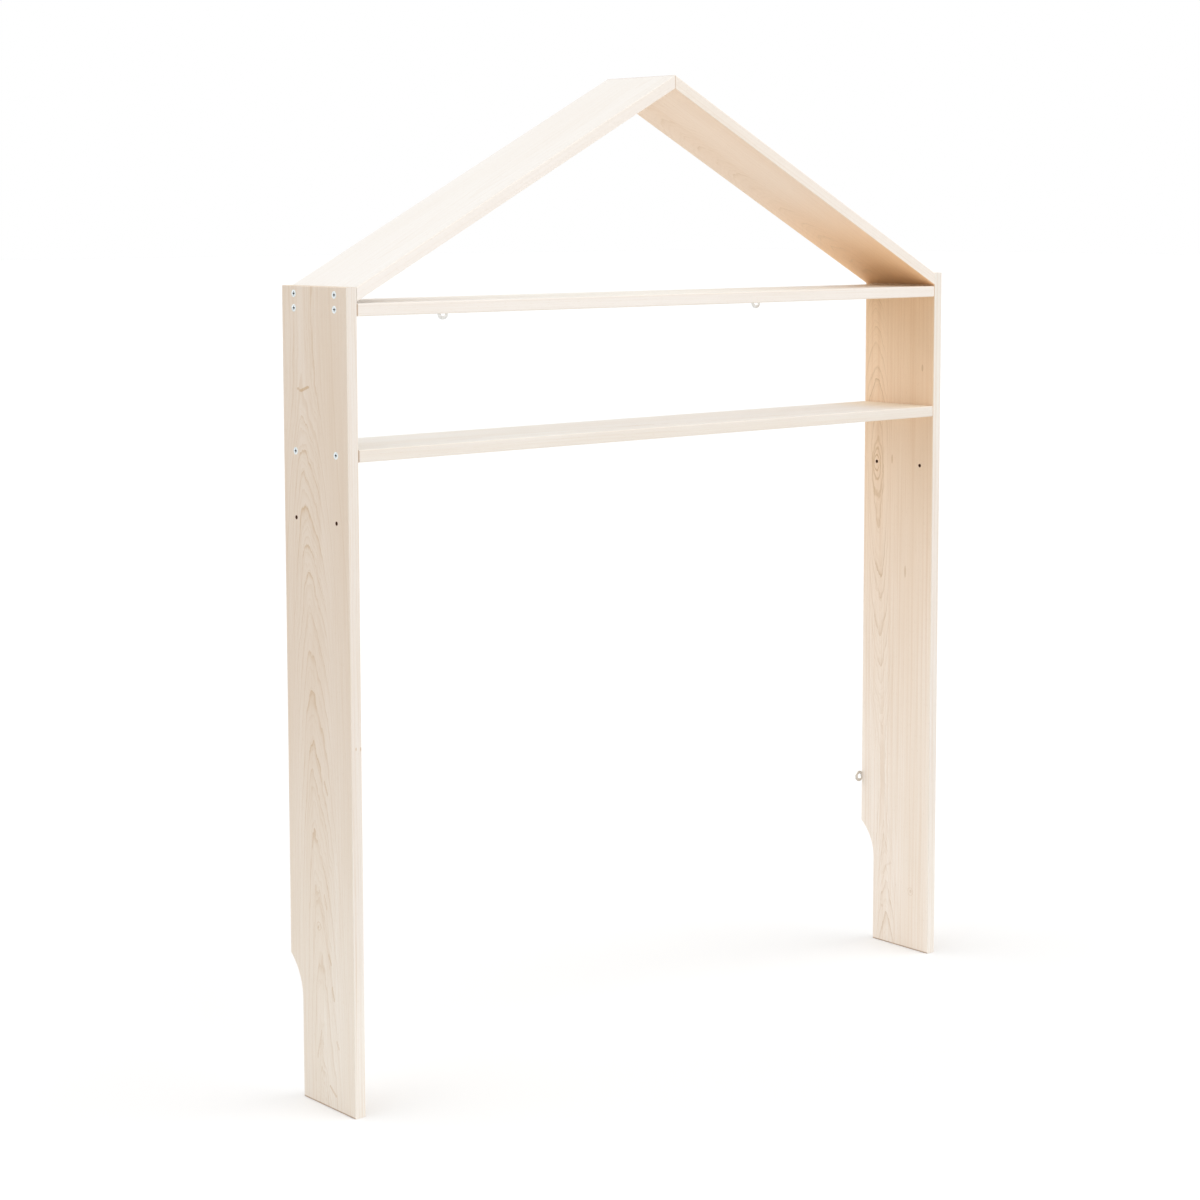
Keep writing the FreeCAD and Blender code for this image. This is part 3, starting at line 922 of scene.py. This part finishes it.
@dataclass
class Boards:
    """What every set of boards shares: the finish and the stock's width and thickness."""

    finish: WoodFinish = MAPLE
    depth: float = 0.160
    thickness: float = 0.018

    def dress_board(
        self,
        node: bpy.types.Object,
        run: GrainRun,
        cut: Cut,
        seams_and_shadows: tuple[SeamAndShadow, ...],
        holes: tuple[Mark, ...] = (),
        knots: tuple[Mark, ...] = (),
    ) -> None:
        """Gives one board its grain, with its seams and painted foot shadow, the painted shade in its open holes,
        and its pin knots.
        """
        self.finish.dress(node, self._lay(node.name, run), cut, seams_and_shadows, holes, knots)
        LOG.info("%s: %s, grain %s", node.name, self.finish.name, run.words())

    def _lay(self, name: str, run: GrainRun) -> BoardPlace:
        """Where a board lies.

        Args:
            name: the board's name.
            run: the way that its grain runs.

        Returns:
            The board's place.
        """
        low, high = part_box(name)
        across = Vector((0.0, 1.0, 0.0))
        return BoardPlace((low + high) / 2, self.depth / 2, self.thickness / 2, run.way(), across)


@dataclass
class Legs(Boards):
    """The two tall legs, with their spare screw holes and a few pin knots."""

    spare_hole_height: float = 0.857212
    spare_hole_offset: float = 0.050
    # How far each spare hole's painted shade reaches.
    spare_hole_reach: Triple = (0.02, 0.0034, 0.0034)
    # A dark line along the foot of the wide faces: painted shadow where the leg stands on the floor.
    painted_foot_shadow: SeamAndShadow = SeamAndShadow(Axis.HEIGHT, 0.0, 0.90, 0.0027, wide_only=True)
    # Painted light and shade: darker towards the top, and the front edge lighter near the foot.
    left_cut: Cut = Cut(
        2.0, side=0.0215, drift=0.031, spread=0.0115, lean=32.0, reach=0.0617, quicken=9.5, crest=0.44,
        fade_near=0.075, fade_far=0.040, tip=0.0010, strength=1.4,
        tone_and_light=(1.0, 1.03, 1.11), edge_tone_and_light=(0.90, 0.94, 1.05),
        painted_light_shifts=(PaintedLightShift(-0.5, 0.08, (0.90, 0.855, 0.82)),),
        edge_painted_light_shifts=(PaintedLightShift(-0.25, -0.52, (1.075, 1.09, 1.09)),),
    )
    # Painted light and shade: the inner face darker and warmer towards the top, a painted band of light above the
    # lower shelf with painted shade above it, and the front edge lighter near the foot and higher up.
    right_cut: Cut = Cut(
        9.0, side=0.040, drift=0.035, spread=0.0135, reach=9.0, flank=0.012, fade_near=0.040, fade_far=0.040,
        tip=-0.0010, sway=3.2, sway_length=1.11, sway_start=-1.472, rush=36.0, rush_start=0.26, quiet=-0.25,
        strength=1.2, streaks=0.25, tone_and_light=(1.125, 1.145, 1.24), edge_tone_and_light=(0.92, 0.96, 1.075),
        painted_light_shifts=(
            PaintedLightShift(-0.35, 0.75, (0.865, 0.665, 0.46)),
            PaintedLightShift(0.350, 0.366, (1.13, 1.16, 1.20)),
            PaintedLightShift(0.390, 0.550, (0.885, 0.862, 0.833)),
        ),
        edge_painted_light_shifts=(
            PaintedLightShift(-0.25, -0.52, (1.05, 1.06, 1.055)),
            PaintedLightShift(0.20, 0.38, (1.015, 1.045, 1.055)),
        ),
    )
    left_knots: tuple[Mark, ...] = (
        *LEFT_FACE.stroke((0.0415, 1.0432), (0.0365, 1.0408), (0.0030, 0.0019), 0.45, 2),
        *LEFT_FACE.stroke((0.0335, 1.0408), (0.0175, 1.0462), (0.0036, 0.0021), 0.60, 5),
        *LEFT_FACE.stroke((0.0025, 0.1080), (0.0129, 0.0708), (0.0013, 0.0042), 0.24, 8),
        *LEFT_FACE.stroke((-0.0182, 0.2266), (-0.0233, 0.2150), (0.0016, 0.0030), 0.34, 4),
        *LEFT_FACE.stroke((-0.0258, 0.1792), (-0.0300, 0.1640), (0.0016, 0.0036), 0.34, 4),
        *LEFT_FACE.stroke((-0.0360, 0.1020), (-0.0405, 0.0940), (0.0016, 0.0028), 0.26, 3),
        *LEFT_FACE.stroke((-0.0180, 0.0326), (-0.0320, 0.0215), (0.0020, 0.0020), 0.36, 6),
        *LEFT_FACE.stroke((-0.0090, 0.3120), (-0.0140, 0.2960), (0.0014, 0.0036), 0.30, 4),
        *LEFT_FACE.stroke((-0.0120, 0.4790), (-0.0190, 0.4640), (0.0016, 0.0034), 0.34, 5),
        LEFT_FACE.spot((0.0060, 0.2650), (0.0052, 0.0062), 0.30, rim=True),
        LEFT_FACE.spot((0.0075, 0.2630), (0.0018, 0.0022), 0.34),
        Mark((-0.612, -0.080, 0.538), (0.0010, 0.004, 0.0026), 0.55),
        Mark((-0.604, -0.080, 0.537), (0.0010, 0.004, 0.0030), 0.60),
    )
    right_knots: tuple[Mark, ...] = (
        Mark((LEG_INNER, 0.0500, 0.855), (0.006, 0.0060, 0.0140), 0.60, rim=True),
        Mark((LEG_INNER, 0.0495, 0.853), (0.008, 0.0085, 0.0260), 0.50, rim=True),
        Mark((LEG_INNER, 0.0480, 0.846), (0.010, 0.0125, 0.0480), 0.35, rim=True),
        RIGHT_FACE.spot((0.0140, 0.864), (0.0018, 0.0080), 0.45),
        RIGHT_FACE.spot((-0.0190, 0.669), (0.0018, 0.0110), 0.40),
        RIGHT_FACE.spot((-0.0540, 1.026), (0.0022, 0.0060), 0.40),
        *RIGHT_FACE.stroke((0.0255, 0.1242), (0.0205, 0.1370), (0.0022, 0.0030), 0.14, 4),
        *RIGHT_FACE.stroke((0.0175, 0.1400), (0.0080, 0.1450), (0.0026, 0.0020), 0.12, 4),
        RIGHT_FACE.spot((-0.0390, 0.1030), (0.0060, 0.0064), 0.20, rim=True),
        RIGHT_FACE.spot((-0.0395, 0.1035), (0.0024, 0.0030), 0.26),
        RIGHT_FACE.spot((0.0281, 0.0640), (0.0026, 0.0028), 0.20),
    )

    def dress(self, nodes: Nodes) -> None:
        """Gives both legs their grain.

        Args:
            nodes: the built pieces by name.
        """
        cuts = (self.left_cut, self.right_cut)
        knots = (self.left_knots, self.right_knots)
        for side, cut, own in zip(Side, cuts, knots):
            leg = nodes[f"leg_{side.value}"]
            self.dress_board(leg, GrainRun.UPRIGHT, cut, (self.painted_foot_shadow,), self._spare_holes(side), own)

    def _spare_holes(self, side: Side) -> tuple[Mark, ...]:
        """The painted shade in a leg's two spare holes, on their walls and round their mouths.

        Args:
            side: the leg's side.

        Returns:
            One mark for each hole.
        """
        x = side.place(LEG_OUTER - self.thickness / 2)
        depths = (-self.spare_hole_offset, self.spare_hole_offset)
        return tuple(Mark((x, y, self.spare_hole_height), self.spare_hole_reach) for y in depths)


@dataclass
class Roof(Boards):
    """The two roof boards, mitred at the ridge, and the two dowels across the mitre."""

    ridge: SeamAndShadow = SeamAndShadow(Axis.WIDTH, 0.0)
    # Its tints paint its top pale, as painted light.
    left_cut: Cut = Cut(
        21.0, side=-0.03, reach=0.20, tip=0.0, strength=0.3, figure=0.5, streaks=0.05, shown=-1.0,
        tone_and_light=(0.930, 1.005, 1.15), back_tint=(0.98, 1.02, 1.12), edge_tone_and_light=(0.96, 1.01, 1.14),
    )
    # Its underside is painted warmer, and warmer and darker towards the lower end, as painted shade.
    right_cut: Cut = Cut(
        33.0, side=0.036, spread=0.026, reach=-0.044, fade_near=0.022, fade_far=0.022, tip=-0.009,
        strength=0.8, shown=-1.0,
        tone_and_light=(1.02, 0.935, 0.91), back_tint=(0.935, 0.99, 1.125), edge_tone_and_light=(0.955, 0.995, 1.105),
        painted_light_shifts=(PaintedLightShift(-0.05, 0.33, (1.14, 0.91, 0.65)),),
    )
    dowel_finish: WoodFinish = BEECH
    dowel_thickness: float = 0.006
    dowel_cuts: tuple[Cut, ...] = (Cut(70.0), Cut(71.0))

    def dress(self, nodes: Nodes) -> None:
        """Gives the roof boards and their dowels their grain.

        Args:
            nodes: the built pieces by name.
        """
        left, right = nodes["roof_board_left"], nodes["roof_board_right"]
        self.dress_board(left, GrainRun.DOWN_LEFT, self.left_cut, (self.ridge,))
        self.dress_board(right, GrainRun.DOWN_RIGHT, self.right_cut, (self.ridge,))
        dowels = Boards(self.dowel_finish, self.dowel_thickness, self.dowel_thickness)
        for row, cut in zip(ROWS, self.dowel_cuts):
            dowels.dress_board(nodes[f"ridge_dowel_{row}"], GrainRun.LEVEL, cut, ())


@dataclass
class Shelves(Boards):
    """The two level shelves between the legs."""

    ends: tuple[SeamAndShadow, ...] = (
        SeamAndShadow(Axis.WIDTH, -LEG_INNER, 0.75, 0.0024),
        SeamAndShadow(Axis.WIDTH, LEG_INNER),
    )
    # Its tints paint its top pale as painted light, lighter still at the left end and cooler towards the right,
    # and warmer at the right end as painted shade.
    upper_cut: Cut = Cut(
        45.0, side=0.05, reach=0.40, strength=0.5, figure=0.7,
        tone_and_light=(0.98, 1.085, 1.24), edge_tone_and_light=(0.94, 0.985, 1.105),
        painted_light_shifts=(
            PaintedLightShift(-0.15, -0.50, (1.10, 1.085, 1.11)),
            PaintedLightShift(0.30, 0.50, (1.0, 1.045, 1.10)),
            PaintedLightShift(0.51, 0.60, (1.11, 1.03, 0.93)),
        ),
    )
    # Its tints paint its top pale as painted light, a little lighter towards the left, and warmer and darker at
    # the right end as painted shade.
    lower_cut: Cut = Cut(
        57.0, side=-0.04, reach=0.30, strength=0.5, figure=0.7,
        tone_and_light=(0.94, 1.02, 1.175), edge_tone_and_light=(0.895, 0.935, 1.03),
        painted_light_shifts=(
            PaintedLightShift(0.15, -0.50, (1.02, 1.045, 1.06)),
            PaintedLightShift(0.46, 0.585, (1.0, 0.90, 0.76)),
        ),
    )

    def dress(self, nodes: Nodes) -> None:
        """Gives both shelves their grain."""
        for level, cut in (("upper", self.upper_cut), ("lower", self.lower_cut)):
            self.dress_board(nodes[f"{level}_shelf"], GrainRun.LEVEL, cut, self.ends)


@dataclass
class EasedMetal:
    """What the metal pieces share: how far sharp edges are eased, and what counts as merged, flat or sharp."""

    ease: float
    steps: int = 2
    merged: float = 1e-6
    flat: float = math.radians(0.5)
    sharp: float = math.radians(28)

    def put(self, nodes: Nodes, name: str, material: bpy.types.Material, slot: str) -> None:
        """Puts an eased copy in the place of a metal piece.

        Args:
            nodes: the built pieces by name.
            name: the piece.
            material: its finish.
            slot: not used.
        """
        piece = self._eased_copy(nodes[name])
        cover(piece, material)
        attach(piece, BODY)
        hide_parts(name)
        LOG.info("%s: %s", piece.name, material.name)

    def _eased_copy(self, node: bpy.types.Object) -> bpy.types.Object:
        """Copies a piece and rounds its sharp edges.

        Args:
            node: the built piece.

        Returns:
            The eased copy, in the same place.
        """
        piece = bpy.data.objects.new(f"{node.name}_eased", node.data.copy())
        bpy.context.scene.collection.objects.link(piece)
        bpy.ops.object.select_all(action="DESELECT")
        piece.select_set(True)
        bpy.context.view_layer.objects.active = piece
        bpy.ops.object.mode_set(mode="EDIT")
        bpy.ops.mesh.select_all(action="SELECT")
        bpy.ops.mesh.remove_doubles(threshold=self.merged)
        bpy.ops.mesh.dissolve_limited(angle_limit=self.flat)
        bpy.ops.object.mode_set(mode="OBJECT")
        bevel = piece.modifiers.new("ease", "BEVEL")
        bevel.width = self.ease
        bevel.segments = self.steps
        bevel.limit_method = "ANGLE"
        bevel.angle_limit = self.sharp
        bpy.ops.object.modifier_apply(modifier=bevel.name)
        bpy.ops.object.shade_smooth_by_angle(angle=self.sharp)
        return piece


@dataclass
class BoardScrews(EasedMetal):
    """The twelve screws through the legs, a pair into each end of the shelves and of the roof."""

    ease: float = 0.0002
    finish: PlatedFinish = BOARD_SCREW_ZINC
    slot: str = "zinc_plated_steel"
    levels: tuple[str, ...] = ("roof", "upper_shelf", "lower_shelf")

    def dress(self, nodes: Nodes) -> None:
        """Eases the screws and plates them.

        Args:
            nodes: the built pieces by name.
        """
        material = self.finish.make()
        for level in self.levels:
            for side in Side:
                for row in ROWS:
                    self.put(nodes, f"{level}_screw_{side.value}_{row}", material, self.slot)


@dataclass
class WallPlates(EasedMetal):
    """The four wall eye plates, each with its two small screws."""

    ease: float = 0.0004
    finish: PlatedFinish = NICKEL
    slot: str = "nickel_plated_steel"
    screw_ease: float = 0.0002
    screw_finish: PlatedFinish = PLATE_SCREW_ZINC
    screw_slot: str = "zinc_plated_steel"
    holders: tuple[str, ...] = ("shelf", "leg")

    def dress(self, nodes: Nodes) -> None:
        """Eases the plates and their screws and plates them.

        Args:
            nodes: the built pieces by name.
        """
        material, screw_material = self.finish.make(), self.screw_finish.make()
        screws = EasedMetal(self.screw_ease)
        for holder in self.holders:
            for side in Side:
                place = f"{holder}_{side.value}"
                self.put(nodes, f"wall_plate_{place}", material, self.slot)
                for number in (1, 2):
                    screws.put(nodes, f"plate_screw_{place}_{number}", screw_material, self.screw_slot)


@dataclass(frozen=True)
class SoftLamp:
    """A far and wide soft lamp: the side it hangs on, its strength, and how wide it is in degrees."""

    name: str
    side: Triple
    strength: float
    width: float = 80.0


@dataclass
class Studio:
    """A pale floor, soft light all round and a camera at the photograph's angle. Its turns are in degrees."""

    lamps: tuple[SoftLamp, ...] = (
        SoftLamp("key", (0.45, -0.75, 0.60), 1.59),
        SoftLamp("sky", (-0.35, 0.35, 0.85), 1.46),
    )
    ambient: float = 0.553
    floor_size: float = 120.0
    floor_bounce: Colour = (0.82, 0.82, 0.81, 1.0)
    floor_shown: Colour = (0.86, 0.86, 0.86, 1.0)
    focal_pixels: float = 2497.39
    sensor: float = 36.0
    lens_shift: float = -0.12
    sight: float = 100.0
    eye: Triple = (-2.62700, -2.93117, 1.29138)
    yaw: float = -40.9290
    pitch: float = -5.5451
    roll: float = -0.0880

    def build(self) -> None:
        """Builds the floor, the light and the camera."""
        self._floor()
        self._world()
        for lamp in self.lamps:
            self._lamp(lamp)
        self._camera()
        bpy.context.scene.view_settings.view_transform = "Standard"
        LOG.info("studio: floor, %d lamps and camera", len(self.lamps))

    def _floor(self) -> None:
        """The floor: near white to the eye, with the shelf's soft shadow, and a little darker in its bounce."""
        bpy.ops.object.select_all(action="DESELECT")
        bpy.ops.mesh.primitive_plane_add(size=self.floor_size)
        floor = bpy.context.object
        floor.name = "floor"
        bench = NodeBench(bpy.data.materials.new("pale_floor"))
        bounce = bench.add("ShaderNodeBsdfDiffuse", {"Color": self.floor_bounce})
        shown = bench.add("ShaderNodeBsdfDiffuse", {"Color": self.floor_shown})
        self._show(bench, bounce, shown, "Material Output")
        cover(floor, bench.holder)

    def _world(self) -> None:
        """The world: white to the eye, and a soft even light."""
        bench = NodeBench(bpy.data.worlds.new("studio"))
        bpy.context.scene.world = bench.holder
        light = bench.nodes["Background"]
        bench.feed(light.inputs["Color"], WHITE)
        bench.feed(light.inputs["Strength"], self.ambient)
        white = bench.add("ShaderNodeBackground", {"Color": WHITE, "Strength": 1.0})
        self._show(bench, light, white, "World Output")

    def _show(self, bench: NodeBench, light: bpy.types.Node, shown: bpy.types.Node, output: str) -> None:
        """Shows the eye, and what mirrors it, another shader than the one that lights the shelf.

        Args:
            bench: the nodes of the floor or of the world.
            light: the shader that lights the shelf.
            shown: the shader that is seen.
            output: the output node's name.
        """
        path = bench.add("ShaderNodeLightPath", {})
        seen = bench.largest([path.outputs[f"Is {ray} Ray"] for ray in SEEN_RAYS])
        both = bench.add("ShaderNodeMixShader", {0: seen, 1: light.outputs[0], 2: shown.outputs[0]})
        bench.feed(bench.nodes[output].inputs["Surface"], both.outputs[0])

    def _lamp(self, lamp: SoftLamp) -> None:
        """Hangs a lamp.

        Args:
            lamp: the lamp.
        """
        light = bpy.data.lights.new(lamp.name, "SUN")
        light.energy = lamp.strength
        light.angle = math.radians(lamp.width)
        holder = bpy.data.objects.new(lamp.name, light)
        holder.rotation_euler = Vector(lamp.side).to_track_quat("Z", "Y").to_euler()
        bpy.context.scene.collection.objects.link(holder)

    def _camera(self) -> None:
        """The camera, at the photograph's viewing angle."""
        camera = bpy.data.cameras.new("camera")
        camera.sensor_width = self.sensor
        camera.lens = self.focal_pixels / FRAME_PIXELS * self.sensor
        camera.shift_y = self.lens_shift
        camera.clip_end = self.sight
        holder = bpy.data.objects.new("camera", camera)
        # Unturned, a camera looks straight down, so it is first raised by a right angle.
        turn = (
            Matrix.Rotation(math.radians(self.yaw), 4, "Z")
            @ Matrix.Rotation(math.radians(90.0 + self.pitch), 4, "X")
            @ Matrix.Rotation(math.radians(self.roll), 4, "Z")
        )
        holder.matrix_world = Matrix.Translation(self.eye) @ turn
        bpy.context.scene.collection.objects.link(holder)
        bpy.context.scene.camera = holder


def main() -> None:
    """Builds the dressed shelf and the studio."""
    logging.basicConfig(level=logging.INFO, format="%(message)s")
    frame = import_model()
    nodes = frame["nodes"]
    Studio().build()
    for assembly in (Legs(), Roof(), Shelves(), BoardScrews(), WallPlates()):
        assembly.dress(nodes)


if __name__ == "__main__":
    main()
